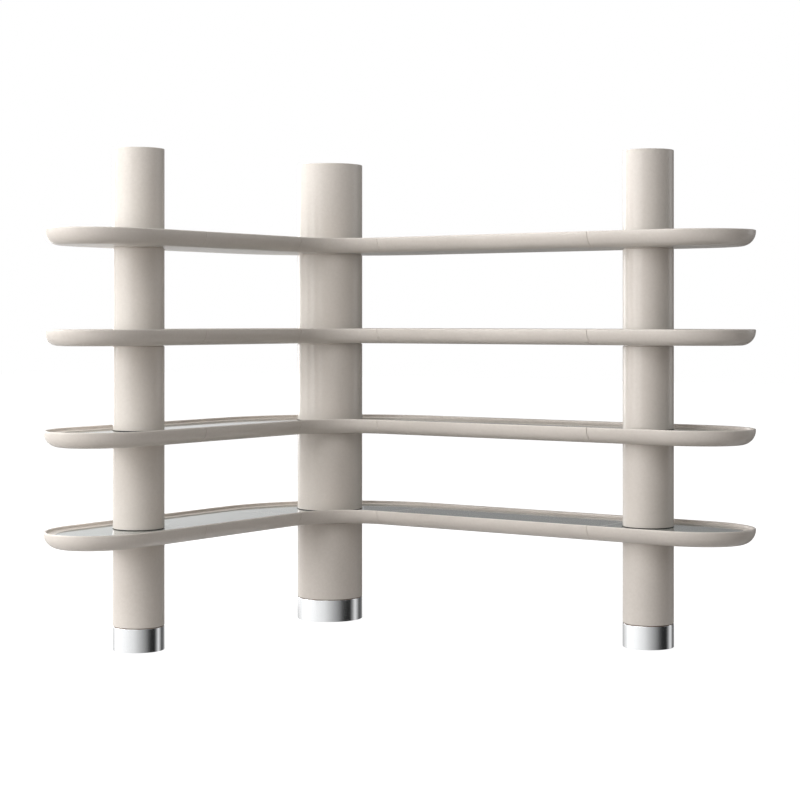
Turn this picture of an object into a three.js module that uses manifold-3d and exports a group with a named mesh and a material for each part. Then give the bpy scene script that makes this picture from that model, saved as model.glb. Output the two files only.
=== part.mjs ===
// Corner shelf unit: four L-shaped trays with a bowl-like edge and inset glass, threaded on three
// round covered columns that stand on bright plinth rings. Millimetres, +Z up, floor at z = 0.
// The right wing runs along +X and the left wing along -Y; the wings' centre lines cross at the
// point called the corner below, and the trays sweep round it in a quarter bend.

import * as THREE from 'three';
import { mergeVertices } from 'three/addons/utils/BufferGeometryUtils.js';
import Module from 'manifold-3d';

const wasm = await Module();
wasm.setup();

// Plan
const overallHeight = 2000;
const rightSpan = 1638;          // corner to the axis of the right column
const leftSpan = 1225;           // corner to the axis of the left column
const shelfDepth = 440;
const bendRadius = 450;          // centre line of a tray round the corner
const endOverhang = 452;         // axis of an outer column to the tip of the tray
const endLength = 280;           // long half-axis of the elliptic tray end
const endSeamSetback = 160;      // axis of an outer column to the seam beside it

// Levels
const shelfCount = 4;
const lowestShelfTop = 498;
const columnRise = 329;          // rim of the highest tray to the column tops

// Tray section
const shelfThickness = 64;
const rimRadius = 4;
const rimWidth = 10;             // outer face to the start of the cove
const rimFall = 2;               // rim top to the start of the cove
const lipWidth = 46;             // outer face to the glass recess
const glassDrop = 13;            // rim top to the glass surface
const glassThickness = 6;
const glassEdgeGap = 1;
const glassArris = 1.2;          // bevel on each pane's top edge, seen as a fine V at the joints
const glassHoleGap = 2;
const seamGap = 0.4;

// Tongues that carry the straight modules at the tray seams
const tongueLength = 100;
const tongueRoot = 20;           // how far a tongue runs back into its own module
const tongueWidth = 40;
const tongueThickness = 12;
const tongueOffset = 110;        // tray centre line to the centre of a tongue
const tongueHeight = 24;         // underside of the tray to the centre of a tongue

// Columns
const sideColumnRadius = 102.5;
const cornerColumnRadius = 143;
const columnWall = 14;
const neckHeight = 4;            // bearing neck, the dark reveal under each tray
const neckRecess = 4;

// Plinths
const plinthHeight = 96;
const plinthFloorGap = 2;
const plinthRingWall = 3;
const plinthRingEdge = 1.5;
const plinthReveal = 2.5;
const basePlateThickness = 10;
const padThickness = 4;
const padWidth = 30;
const padInset = 14;

// Top closure
const capRecess = 1.5;
const capDiscThickness = 10;
const capSkirtWall = 8;
const capDepth = 52;             // column top to the clamp plate's upper face
const clampShoulder = 6;
const clampThickness = 8;

// Tie rods
const rodRadius = 10;
const rodBoreGap = 1;
const rodProud = 6;
const nutRadius = 20;
const nutHeight = 16;

// Fits and facets
const seatGap = 0.3;             // between faces that bear on each other
const overrun = 20;              // how far a cutting tool reaches past what it cuts
const endSteps = 12;
const bendSteps = 8;
const edgeSteps = 4;
const coveSteps = 2;
const columnSides = 20;
const hiddenSides = 12;
const rodSides = 8;
const nutSides = 6;

const quarterTurn = Math.PI / 2;
const shelfPitch = (overallHeight - columnRise - lowestShelfTop) / (shelfCount - 1);
const halfDepth = shelfDepth / 2;
const edgeRadius = shelfThickness - rimRadius;
const glassTop = shelfThickness - glassDrop;
const glassUnderside = glassTop - glassThickness;
const deckHeight = glassUnderside - seatGap;
const boreRadius = rodRadius + rodBoreGap;
const cornerOffset = bendRadius * (1 - Math.cos(quarterTurn / 2));
const rightSeam = rightSpan - endSeamSetback;
const leftSeam = leftSpan - endSeamSetback;
const underside = (level) => lowestShelfTop + level * shelfPitch - shelfThickness;

const columns = [
  { name: 'left', x: 0, y: -leftSpan, radius: sideColumnRadius },
  { name: 'corner', x: cornerOffset, y: -cornerOffset, radius: cornerColumnRadius },
  { name: 'right', x: rightSpan, y: 0, radius: sideColumnRadius },
];

// Finishes
const finishes = {
  leather: { color: 0xd8cfc7, roughness: 0.62, metalness: 0 },
  glass: { color: 0x9ca39f, roughness: 0.12, metalness: 0 },
  chrome: { color: 0xdfe1e2, roughness: 0.16, metalness: 1 },
  steel: { color: 0x4a4846, roughness: 0.5, metalness: 0.9 },
  timber: { color: 0x5a4a3c, roughness: 0.8, metalness: 0 },
  rubber: { color: 0x262524, roughness: 0.9, metalness: 0 },
};

function piece(name, geometry, finish) {
  const mesh = new THREE.Mesh(geometry, new THREE.MeshStandardMaterial(finishes[finish]));
  mesh.name = name;
  return mesh;
}

// Solids for cutting and joining
function toSolid(geometry) {
  const bare = geometry.clone();
  bare.deleteAttribute('normal');
  bare.deleteAttribute('uv');
  const merged = mergeVertices(bare);
  return new wasm.Manifold(new wasm.Mesh({
    numProp: 3,
    vertProperties: new Float32Array(merged.attributes.position.array),
    triVerts: new Uint32Array(merged.index.array),
  }));
}

function toGeometry(solid) {
  const mesh = solid.getMesh();
  const geometry = new THREE.BufferGeometry();
  geometry.setAttribute('position', new THREE.BufferAttribute(new Float32Array(mesh.vertProperties), 3));
  geometry.setIndex(new THREE.BufferAttribute(new Uint32Array(mesh.triVerts), 1));
  const flat = geometry.toNonIndexed();
  flat.computeVertexNormals();
  return flat;
}

function block([x0, x1], [y0, y1], [z0, z1]) {
  const box = new THREE.BoxGeometry(x1 - x0, y1 - y0, z1 - z0);
  return box.translate((x0 + x1) / 2, (y0 + y1) / 2, (z0 + z1) / 2);
}

function roundBar(radius, [z0, z1], sides) {
  const bar = new THREE.CylinderGeometry(radius, radius, z1 - z0, sides);
  return bar.rotateX(quarterTurn).translate(0, 0, (z0 + z1) / 2);
}

// A turned piece from its half section, points given as [radius, height] up the outer side.
function turned(section, sides) {
  const points = section.map(([radius, height]) => new THREE.Vector2(radius, height));
  return new THREE.LatheGeometry(points, sides).rotateX(quarterTurn);
}

function ring(inner, outer, [z0, z1], sides) {
  return turned([[outer, z0], [outer, z1], [inner, z1], [inner, z0], [outer, z0]], sides);
}

function joined(geometries) {
  return geometries.map(toSolid).reduce((sum, solid) => sum.add(solid));
}

// Plan outline of a tray, drawn in from its outer face by an inset, counterclockwise from above.
function arcRun(centreX, centreY, halfX, halfY, from, to, steps, inset) {
  const run = [];
  for (let i = 0; i <= steps; i += 1) {
    const angle = from + (to - from) * (i / steps);
    const point = new THREE.Vector2(halfX * Math.cos(angle), halfY * Math.sin(angle));
    const outward = new THREE.Vector2(Math.cos(angle) / halfX, Math.sin(angle) / halfY).normalize();
    run.push(point.addScaledVector(outward, -inset).add(new THREE.Vector2(centreX, centreY)));
  }
  return run;
}

function trayOutline(inset) {
  const leftEnd = -(leftSpan + endOverhang - endLength);
  const rightEnd = rightSpan + endOverhang - endLength;
  const outer = bendRadius + halfDepth;
  const inner = bendRadius - halfDepth;
  const half = Math.PI;
  return [
    ...arcRun(bendRadius, -bendRadius, outer, outer, quarterTurn, half, bendSteps, inset),
    ...arcRun(0, leftEnd, halfDepth, endLength, half, 2 * half, endSteps, inset),
    ...arcRun(bendRadius, -bendRadius, inner, inner, half, quarterTurn, bendSteps, -inset),
    ...arcRun(rightEnd, 0, endLength, halfDepth, -quarterTurn, quarterTurn, endSteps, inset),
  ];
}

// Section of the tray's edge as [inset, height]: quarter round, rim, cove and the glass recess.
function traySection() {
  const section = [];
  for (let i = 0; i <= edgeSteps; i += 1) {
    const angle = quarterTurn * (i / edgeSteps);
    section.push([edgeRadius * (1 - Math.sin(angle)), edgeRadius * (1 - Math.cos(angle))]);
  }
  section.push([rimRadius, shelfThickness]);
  const coveTop = shelfThickness - rimFall;
  for (let i = 0; i <= coveSteps; i += 1) {
    const angle = quarterTurn * (i / coveSteps);
    const inset = rimWidth + (lipWidth - rimWidth) * (1 - Math.cos(angle));
    section.push([inset, coveTop - (glassDrop - rimFall) * Math.sin(angle)]);
  }
  section.push([lipWidth, deckHeight]);
  return section;
}

// Closed solid through a stack of outlines, capped at the first and the last.
function lofted(loops) {
  const count = loops[0].length;
  const positions = loops.flat().flatMap((point) => [point.x, point.y, point.z]);
  const indices = [];
  for (let level = 0; level < loops.length - 1; level += 1) {
    for (let i = 0; i < count; i += 1) {
      const a = level * count + i;
      const b = level * count + ((i + 1) % count);
      indices.push(a, b, b + count, a, b + count, a + count);
    }
  }
  const last = (loops.length - 1) * count;
  for (const [a, b, c] of THREE.ShapeUtils.triangulateShape(loops[0], [])) {
    indices.push(c, b, a);
  }
  for (const [a, b, c] of THREE.ShapeUtils.triangulateShape(loops[loops.length - 1], [])) {
    indices.push(last + a, last + b, last + c);
  }
  const geometry = new THREE.BufferGeometry();
  geometry.setAttribute('position', new THREE.Float32BufferAttribute(positions, 3));
  geometry.setIndex(indices);
  return geometry;
}

const raise = (outline, height) => outline.map((point) => new THREE.Vector3(point.x, point.y, height));

// The five modules of a tray, each kept by a block between two seam planes.
function moduleBlocks(gap) {
  const reachX = rightSpan + endOverhang + overrun;
  const reachY = leftSpan + endOverhang + overrun;
  const back = halfDepth + overrun;
  const tall = [-overrun, shelfThickness + overrun];
  const slip = gap / 2;
  return {
    left_end: block([-back, back], [-reachY, -leftSeam - slip], tall),
    left_span: block([-back, back], [-leftSeam + slip, -bendRadius - slip], tall),
    corner: block([-back, bendRadius - slip], [-bendRadius + slip, back], tall),
    right_span: block([bendRadius + slip, rightSeam - slip], [-back, back], tall),
    right_end: block([rightSeam + slip, reachX], [-back, back], tall),
  };
}

// Tongues of one tray: a pair on each seam of the corner and end modules, pointing into the
// straight modules. A clearance turns them into the sockets that take them.
function tongues(clearance) {
  const across = tongueWidth / 2 + clearance;
  const rise = tongueThickness / 2 + clearance;
  const heights = [tongueHeight - rise, tongueHeight + rise];
  const reach = tongueLength + clearance;
  const places = { corner: [], left_end: [], right_end: [] };
  for (const side of [-tongueOffset, tongueOffset]) {
    const width = [side - across, side + across];
    places.corner.push(block([bendRadius - tongueRoot, bendRadius + reach], width, heights));
    places.corner.push(block(width, [-bendRadius - reach, -bendRadius + tongueRoot], heights));
    places.right_end.push(block([rightSeam - reach, rightSeam + tongueRoot], width, heights));
    places.left_end.push(block(width, [-leftSeam - tongueRoot, -leftSeam + reach], heights));
  }
  return places;
}

function trayModules() {
  let blank = toSolid(lofted(traySection().map(([inset, height]) => raise(trayOutline(inset), height))));
  for (const column of columns) {
    const bore = roundBar(boreRadius, [-overrun, shelfThickness + overrun], rodSides);
    blank = blank.subtract(toSolid(bore.translate(column.x, column.y, 0)));
  }
  const carried = tongues(0);
  const sockets = Object.values(tongues(seatGap)).flat();
  return Object.entries(moduleBlocks(seamGap)).map(([name, keep]) => {
    let solid = blank.intersect(toSolid(keep));
    if (carried[name]) {
      carried[name].forEach((tongue) => { solid = solid.add(toSolid(tongue)); });
    } else {
      sockets.forEach((socket) => { solid = solid.subtract(toSolid(socket)); });
    }
    return [name, toGeometry(solid)];
  });
}

// The glass of one tray: panes butted at the seams, where their bevelled edges leave a fine V.
function glassPanes() {
  const outline = trayOutline(lipWidth + glassEdgeGap);
  let sheet = toSolid(lofted([raise(outline, glassUnderside), raise(outline, glassTop)]));
  for (const column of columns) {
    const hole = roundBar(column.radius + glassHoleGap, [0, shelfThickness], columnSides);
    sheet = sheet.subtract(toSolid(hole.translate(column.x, column.y, 0)));
  }
  const side = glassArris * Math.SQRT2;
  for (const seam of [bendRadius, rightSeam]) {
    const groove = new THREE.BoxGeometry(side, shelfDepth, side).rotateY(quarterTurn / 2);
    sheet = sheet.subtract(toSolid(groove.translate(seam, 0, glassTop)));
  }
  for (const seam of [-bendRadius, -leftSeam]) {
    const groove = new THREE.BoxGeometry(shelfDepth, side, side).rotateX(quarterTurn / 2);
    sheet = sheet.subtract(toSolid(groove.translate(0, seam, glassTop)));
  }
  return toGeometry(sheet);
}

// One column: pad, plinth, covered segments between the trays, tie rod, clamp nut and cap.
function column({ name, x, y, radius }) {
  const group = new THREE.Group();
  group.position.set(x, y, 0);
  const inner = radius - columnWall;
  const ringInner = radius - plinthRingWall;
  const blockRadius = ringInner - seatGap;
  const neckRadius = radius - neckRecess;

  const padOuter = radius - padInset;
  const pad = ring(padOuter - padWidth, padOuter, [0, padThickness], hiddenSides);
  group.add(piece(`${name}_floor_pad`, pad, 'rubber'));

  const baseBottom = padThickness + seatGap;
  const baseTop = baseBottom + basePlateThickness;
  const base = ring(rodRadius + seatGap, blockRadius, [baseBottom, baseTop], columnSides);
  group.add(piece(`${name}_base_plate`, base, 'steel'));

  const blockBottom = baseTop + seatGap;
  const plinthTop = plinthHeight + plinthReveal;
  const plinthBlock = turned([
    [blockRadius, blockBottom], [blockRadius, plinthHeight - plinthRingEdge],
    [neckRadius, plinthHeight], [neckRadius, plinthTop],
    [boreRadius, plinthTop], [boreRadius, blockBottom], [blockRadius, blockBottom],
  ], columnSides);
  group.add(piece(`${name}_plinth_block`, plinthBlock, 'timber'));

  const plinthRing = turned([
    [ringInner, plinthFloorGap], [radius - plinthRingEdge, plinthFloorGap],
    [radius, plinthFloorGap + plinthRingEdge], [radius, plinthHeight - plinthRingEdge],
    [radius - plinthRingEdge, plinthHeight], [ringInner, plinthHeight],
    [ringInner, plinthFloorGap],
  ], columnSides);
  group.add(piece(`${name}_plinth_ring`, plinthRing, 'chrome'));

  let bottom = plinthTop + seatGap;
  for (let level = 0; level < shelfCount; level += 1) {
    const top = underside(level) - seatGap;
    const segment = turned([
      [inner, bottom], [radius, bottom], [radius, top - neckHeight],
      [neckRadius, top - neckHeight], [neckRadius, top], [inner, top], [inner, bottom],
    ], columnSides);
    group.add(piece(`${name}_column_segment_${level + 1}`, segment, 'leather'));
    bottom = underside(level) + deckHeight + seatGap;
  }

  const clampTop = overallHeight - capDepth;
  const shoulder = clampTop - clampThickness - seatGap;
  const counterbore = inner + clampShoulder;
  const topSegment = turned([
    [inner, bottom], [radius, bottom], [radius, overallHeight], [counterbore, overallHeight],
    [counterbore, shoulder], [inner, shoulder], [inner, bottom],
  ], columnSides);
  group.add(piece(`${name}_column_segment_${shelfCount + 1}`, topSegment, 'leather'));

  const clampBottom = clampTop - clampThickness;
  const nutTop = clampTop + nutHeight;
  const flangeRadius = counterbore - seatGap;
  const nutBody = joined([
    roundBar(flangeRadius, [clampBottom, clampTop], columnSides),
    roundBar(nutRadius, [clampBottom, nutTop], nutSides),
  ]);
  const nutBore = roundBar(rodRadius + seatGap, [clampBottom - overrun, nutTop + overrun], rodSides);
  const clampNut = toGeometry(nutBody.subtract(toSolid(nutBore)));
  group.add(piece(`${name}_clamp_nut`, clampNut, 'steel'));

  const rod = roundBar(rodRadius, [baseBottom + seatGap, nutTop + rodProud], rodSides);
  group.add(piece(`${name}_tie_rod`, rod, 'steel'));

  const capTop = overallHeight - capRecess;
  const skirtInner = flangeRadius - capSkirtWall;
  const cap = turned([
    [0, capTop - capDiscThickness], [skirtInner, capTop - capDiscThickness],
    [skirtInner, clampTop + seatGap], [flangeRadius, clampTop + seatGap],
    [flangeRadius, capTop], [0, capTop],
  ], columnSides);
  group.add(piece(`${name}_top_cap`, cap, 'leather'));
  return group;
}

// Assembly, moved so that the origin is under the centre of the whole unit.
const unit = new THREE.Group();
const centreX = (rightSpan + endOverhang - halfDepth) / 2;
const centreY = (halfDepth - leftSpan - endOverhang) / 2;
unit.position.set(-centreX, -centreY, 0);

const modules = trayModules();
const panes = glassPanes();
for (let level = 0; level < shelfCount; level += 1) {
  const tray = new THREE.Group();
  tray.position.z = underside(level);
  for (const [name, geometry] of modules) {
    tray.add(piece(`shelf_${level + 1}_${name}`, geometry, 'leather'));
  }
  tray.add(piece(`shelf_${level + 1}_glass`, panes, 'glass'));
  unit.add(tray);
}
for (const place of columns) {
  unit.add(column(place));
}

const shelfUnit = new THREE.Group();
shelfUnit.name = 'corner_shelf_unit';
shelfUnit.add(unit);

export default shelfUnit;
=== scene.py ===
# %% [markdown]
# # A corner shelf unit
# Four L-shaped trays are threaded on three round columns, like beads on strings. Each tray has a
# bowl-like edge under a thin rim, and glass let into its top. Trays and columns wear the same pale
# leather, and every column stands in a bright metal ring.
#
# The frame that is loaded first is the measured model: it says where each piece is and how large.
# This lesson models the visible pieces again with smooth surfaces, and gives every piece its finish.

# %% Load the frame
import math

import bmesh
import bpy
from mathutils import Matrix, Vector


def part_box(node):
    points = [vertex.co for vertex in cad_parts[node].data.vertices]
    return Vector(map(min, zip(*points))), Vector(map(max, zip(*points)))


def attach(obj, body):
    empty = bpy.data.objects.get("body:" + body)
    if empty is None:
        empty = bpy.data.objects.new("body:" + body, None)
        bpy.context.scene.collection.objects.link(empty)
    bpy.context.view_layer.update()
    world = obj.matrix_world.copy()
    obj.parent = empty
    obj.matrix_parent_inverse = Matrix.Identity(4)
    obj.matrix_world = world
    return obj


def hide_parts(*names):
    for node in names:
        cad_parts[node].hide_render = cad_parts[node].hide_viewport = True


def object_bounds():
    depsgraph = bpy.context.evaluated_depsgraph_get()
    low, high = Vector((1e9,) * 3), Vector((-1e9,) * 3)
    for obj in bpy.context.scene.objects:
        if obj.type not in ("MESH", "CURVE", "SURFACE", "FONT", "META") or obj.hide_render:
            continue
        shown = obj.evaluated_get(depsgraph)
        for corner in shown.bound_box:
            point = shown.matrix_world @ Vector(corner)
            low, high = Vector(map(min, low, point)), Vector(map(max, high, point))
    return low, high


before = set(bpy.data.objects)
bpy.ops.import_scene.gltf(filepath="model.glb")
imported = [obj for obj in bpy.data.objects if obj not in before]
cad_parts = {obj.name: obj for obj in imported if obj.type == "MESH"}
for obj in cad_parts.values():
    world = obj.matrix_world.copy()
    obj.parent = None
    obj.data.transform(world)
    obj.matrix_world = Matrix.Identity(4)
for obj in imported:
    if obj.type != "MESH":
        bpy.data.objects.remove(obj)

frame_low, frame_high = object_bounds()
print("frame box in metres:", tuple(frame_low), tuple(frame_high))

# %% [markdown]
# ## Sizes come from the frame
# A piece that is measured from its neighbours always fits them. The box of a straight module gives
# the depth and height of a tray and both of its seams, and the box of a column segment gives the
# column's axis and radius. Only the small shapes inside a section need values of their own.

# %% Sizes of the trays
SEAM_GAP = 0.0004          # between two modules of a tray
GLASS_EDGE_GAP = 0.001     # between the glass and the lip around it

right_low, right_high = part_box("shelf_1_right_span")
left_low, left_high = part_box("shelf_1_left_span")
glass_low, glass_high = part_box("shelf_1_glass")
tray_floor = right_low.z
tray_rim = right_high.z
tray_depth = right_high.y - right_low.y
lip_width = right_high.y - glass_high.y - GLASS_EDGE_GAP
wing_x = (left_low.x + left_high.x) / 2
wing_y = (right_low.y + right_high.y) / 2
bend_x = right_low.x - SEAM_GAP / 2
bend_y = left_high.y + SEAM_GAP / 2
right_seam = right_high.x + SEAM_GAP / 2
left_seam = left_low.y - SEAM_GAP / 2
right_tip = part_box("shelf_1_right_end")[1].x
left_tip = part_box("shelf_1_left_end")[0].y
print("tray depth", round(tray_depth, 4), "height", round(tray_rim - tray_floor, 4))

# %% Sizes of the columns
COLUMN_NAMES = ("left", "corner", "right")

column_axis = {}
column_radius = {}
for name in COLUMN_NAMES:
    low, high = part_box(f"{name}_column_segment_1")
    column_axis[name] = Vector(((low.x + high.x) / 2, (low.y + high.y) / 2, 0))
    column_radius[name] = (high.x - low.x) / 2
print("column radii", {name: round(radius, 4) for name, radius in column_radius.items()})

# %% [markdown]
# ## The camera
# The picture was taken level, from chest height, a good way off, so verticals stay upright and the
# long lens keeps the wings from flaring. A level camera that still shows more floor than ceiling
# needs a vertical shift and not a tilt.

# %% Camera
PHOTO_PIXELS = 800
FOCAL_PIXELS = 1913
PRINCIPAL_X_PIXEL = 400.9
HORIZON_Y_PIXEL = 320.3
CAMERA_PLACE = Vector((4.297, -6.1655, 1.3154))
CAMERA_HEADING = math.radians(34.9)
SENSOR_MM = 36

bpy.ops.object.camera_add(location=CAMERA_PLACE, rotation=(math.pi / 2, 0, CAMERA_HEADING))
camera = bpy.context.object
camera.data.sensor_width = SENSOR_MM
camera.data.lens = SENSOR_MM * FOCAL_PIXELS / PHOTO_PIXELS
camera.data.shift_x = (PHOTO_PIXELS / 2 - PRINCIPAL_X_PIXEL) / PHOTO_PIXELS
camera.data.shift_y = (HORIZON_Y_PIXEL - PHOTO_PIXELS / 2) / PHOTO_PIXELS
bpy.context.scene.camera = camera
print("lens", round(camera.data.lens, 1), "mm")

# %% [markdown]
# ## Helpers for modelling by operator
# An operator works on whatever is selected, so each piece starts with nothing selected. A new
# primitive has its place put into its mesh at once: after that, mesh coordinates are the room's
# coordinates, and a face can be found by where it lies.

# %% Modelling helpers
TINY = 1e-5                # places nearer to each other than this count as one


def start(add_primitive, **settings):
    """Adds a primitive with nothing else selected, and opens it in edit mode."""
    bpy.ops.object.select_all(action="DESELECT")
    add_primitive(**settings)
    bpy.ops.object.transform_apply(location=True, rotation=True, scale=True)
    bpy.ops.object.mode_set(mode="EDIT")
    return bpy.context.object


def choose(piece, mode, test):
    """In edit mode, selects only the vertices, edges or faces of the piece that pass the test."""
    bpy.ops.mesh.select_mode(type=mode)
    bpy.ops.mesh.select_all(action="DESELECT")
    mesh = bmesh.from_edit_mesh(piece.data)
    elements = {"VERT": mesh.verts, "EDGE": mesh.edges, "FACE": mesh.faces}[mode]
    for element in [element for element in elements if test(element)]:
        element.select_set(True)
    bmesh.update_edit_mesh(piece.data)


def lies_at(element, place, axis="z"):
    """True if every corner of an edge or face has that coordinate."""
    return all(abs(getattr(vertex.co, axis) - place) < TINY for vertex in element.verts)


def pull(distance):
    """Extrudes the selected faces straight up, or down if the distance is negative."""
    bpy.ops.mesh.extrude_region_move(TRANSFORM_OT_translate={"value": (0, 0, distance)})


def bevel(radius, segments):
    """Rounds the selected edges by the full radius, even beside short edges."""
    bpy.ops.mesh.bevel(offset=radius, segments=segments, affect="EDGES", clamp_overlap=False)


def face_outwards():
    bpy.ops.mesh.select_all(action="SELECT")
    bpy.ops.mesh.normals_make_consistent(inside=False)


def only(piece, name):
    """Names a piece and makes it the only selected and active object."""
    bpy.ops.object.select_all(action="DESELECT")
    piece.name = name
    piece.data.name = name
    piece.select_set(True)
    bpy.context.view_layer.objects.active = piece
    return piece


def finished(piece, name):
    """Leaves edit mode and names the piece."""
    bpy.ops.object.mode_set(mode="OBJECT")
    return only(piece, name)


def discard(piece):
    bpy.data.objects.remove(piece, do_unlink=True)


print("places count as one within", TINY, "m")

# %% [markdown]
# ## The outline of a tray
# Seen from above a tray is a strip as wide as the shelf is deep. It starts as one square plane on
# the right wing. One edge is pulled out along the wing, and the opposite one is spun round the bend
# and then pulled out along the left wing. Each end is half an ellipse: a corner point is spun half a
# turn round the middle of the end, and the arc is stretched along the wing.
#
# The spin operator turns clockwise seen from the tip of its axis, so an axis that points down turns
# it anticlockwise in plan.

# %% Tray outline
END_LENGTH = 0.280         # long half-axis of the elliptic tray ends
BEND_STEPS = 32
END_STEPS = 40
ALONG_X, AGAINST_X = (1, 0, 0), (-1, 0, 0)
ALONG_Y, AGAINST_Y = (0, 1, 0), (0, -1, 0)
DOWN = (0, 0, -1)
half_depth = tray_depth / 2
end_stretch = END_LENGTH / half_depth
right_end_start = right_tip - END_LENGTH
left_end_start = left_tip + END_LENGTH


def add_round_end(sheet, centre, outward):
    """Closes the strip with half an ellipse round that centre, which bulges in that direction."""
    corner = centre + half_depth * Vector((outward[1], -outward[0], 0))

    def reach(vertex):
        return (vertex.co - centre).dot(Vector(outward))

    choose(sheet, "VERT", lambda v: (v.co - corner).length < TINY)
    bpy.ops.mesh.spin(steps=END_STEPS, angle=math.pi, center=centre, axis=DOWN)
    choose(sheet, "VERT", lambda v: reach(v) > TINY)
    stretch = [end_stretch if share else 1 for share in outward]
    bpy.ops.transform.resize(value=stretch, center_override=centre)
    bpy.ops.mesh.select_all(action="SELECT")
    bpy.ops.mesh.remove_doubles(threshold=TINY)
    choose(sheet, "EDGE", lambda e: all(reach(v) > -TINY for v in e.verts))
    bpy.ops.mesh.edge_face_add()


def outline_sheet():
    """The plan of a tray as one flat face at the height of its underside, still in edit mode."""
    first_place = (bend_x + half_depth, wing_y, tray_floor)
    sheet = start(bpy.ops.mesh.primitive_plane_add, size=tray_depth, location=first_place)
    first_edge = bend_x + tray_depth
    choose(sheet, "EDGE", lambda e: lies_at(e, first_edge, "x"))
    bpy.ops.transform.translate(value=(right_end_start - first_edge, 0, 0))
    choose(sheet, "EDGE", lambda e: lies_at(e, bend_x, "x"))
    bend_centre = (bend_x, bend_y, tray_floor)
    bpy.ops.mesh.spin(steps=BEND_STEPS, angle=math.pi / 2, center=bend_centre, axis=DOWN)
    choose(sheet, "EDGE", lambda e: lies_at(e, bend_y, "y"))
    bpy.ops.mesh.extrude_edges_move(
        TRANSFORM_OT_translate={"value": (0, left_end_start - bend_y, 0)})
    add_round_end(sheet, Vector((right_end_start, wing_y, tray_floor)), ALONG_X)
    add_round_end(sheet, Vector((wing_x, left_end_start, tray_floor)), AGAINST_Y)
    bpy.ops.mesh.select_mode(type="FACE")
    bpy.ops.mesh.select_all(action="SELECT")
    bpy.ops.mesh.dissolve_faces()
    face_outwards()
    return sheet


print("tray ends:", END_STEPS, "steps each, stretched", round(end_stretch, 3), "times")

# %% [markdown]
# ## The blank of a tray
# The real tray is a moulded core with leather drawn over it. Its underside turns up in a quarter
# round, like the side of a bowl, to a small rim. Inside the rim the lip falls in a tight cove to a
# flat ledge round the glass.
#
# The outline is raised to a slab. A bevel with many segments on the lower edge makes the bowl, a small
# one on the upper edge makes the rim, and a run of insets, each a little deeper and flatter than the
# last, makes the cove.

# %% Tray blank
BOWL_RADIUS = 0.0580
BOWL_SEGMENTS = 14
RIM_RADIUS = 0.0040
RIM_SEGMENTS = 4
RIM_WIDTH = 0.010
RIM_FALL = 0.002
COVE_STEPS = 8
COVE_SQUARENESS = 0.45     # 1 would be a quarter ellipse, and 0 a square corner
DECK_UNDER_GLASS = 0.0003
deck_height = glass_low.z - DECK_UNDER_GLASS


def top_face(piece, height):
    choose(piece, "FACE", lambda f: lies_at(f, height) and f.normal.z > 0)


def sink_cove():
    """Insets the selected face again and again, each time a little deeper."""
    width = lip_width - RIM_WIDTH
    depth = tray_rim - RIM_FALL - glass_high.z
    angles = [math.pi / 2 * step / COVE_STEPS for step in range(COVE_STEPS + 1)]
    across = [width * (1 - max(0, math.cos(a)) ** COVE_SQUARENESS) for a in angles]
    fall = [depth * math.sin(a) ** COVE_SQUARENESS for a in angles]
    for step in range(COVE_STEPS):
        bpy.ops.mesh.inset(thickness=across[step + 1] - across[step], depth=fall[step] - fall[step + 1])


def tray_blank():
    blank = outline_sheet()
    pull(tray_rim - tray_floor)
    face_outwards()
    choose(blank, "EDGE", lambda e: lies_at(e, tray_floor))
    bevel(BOWL_RADIUS, BOWL_SEGMENTS)
    choose(blank, "EDGE", lambda e: lies_at(e, tray_rim))
    bevel(RIM_RADIUS, RIM_SEGMENTS)
    top_face(blank, tray_rim)
    bpy.ops.mesh.inset(thickness=RIM_WIDTH - RIM_RADIUS, depth=-RIM_FALL)
    sink_cove()
    pull(deck_height - glass_high.z)
    return finished(blank, "tray_blank")


blank = tray_blank()
print("tray blank:", len(blank.data.polygons), "faces")

# %% [markdown]
# ## Round holes
# Columns and rods pass through flat pieces. A Boolean modifier takes a cylinder, the drill, away
# from the piece, and is applied at once so that the drill can go.

# %% Drill
COLUMN_SIDES = 96


def cut_round(piece, axis, radius):
    """Cuts a round hole right through a piece, from top to bottom."""
    heights = [vertex.co.z for vertex in piece.data.vertices]
    reach = 2 * (max(heights) - min(heights))
    place = (axis.x, axis.y, (max(heights) + min(heights)) / 2)
    drill = start(bpy.ops.mesh.primitive_cylinder_add,
                  vertices=COLUMN_SIDES, radius=radius, depth=reach, location=place)
    bpy.ops.object.mode_set(mode="OBJECT")
    only(piece, piece.name)
    cut = piece.modifiers.new("round_hole", "BOOLEAN")
    cut.operation = "DIFFERENCE"
    cut.solver = "EXACT"
    cut.object = drill
    bpy.ops.object.modifier_apply(modifier=cut.name)
    discard(drill)


print("round holes and columns have", COLUMN_SIDES, "sides")

# %% [markdown]
# ## A template for the glass
# A glazier takes the shape of a pane from the place it will lie in. So the flat deck inside the lip
# is copied off the blank, drawn in by the gap round the glass and raised to a sheet. Each column
# gets a hole a little wider than itself, and the upper edges get an arris, the small bevel that
# takes the sharpness off cut glass.

# %% Glass sheet
GLASS_HOLE_GAP = 0.002
ARRIS = 0.0009
ARRIS_SEGMENTS = 2
SHARP_ANGLE = math.radians(35)


def copy_of_deck():
    """The deck of the blank as an object of its own, in edit mode with its outer rim cut off."""
    only(blank, blank.name)
    bpy.ops.object.mode_set(mode="EDIT")
    top_face(blank, deck_height)
    bpy.ops.mesh.duplicate()
    bpy.ops.mesh.separate(type="SELECTED")
    bpy.ops.object.mode_set(mode="OBJECT")
    deck = next(piece for piece in bpy.context.selected_objects if piece is not blank)
    only(deck, "glass_sheet")
    bpy.ops.object.mode_set(mode="EDIT")
    bpy.ops.mesh.select_all(action="SELECT")
    bpy.ops.mesh.inset(thickness=GLASS_EDGE_GAP)
    bpy.ops.mesh.select_all(action="INVERT")
    bpy.ops.mesh.delete(type="FACE")
    return deck


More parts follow.
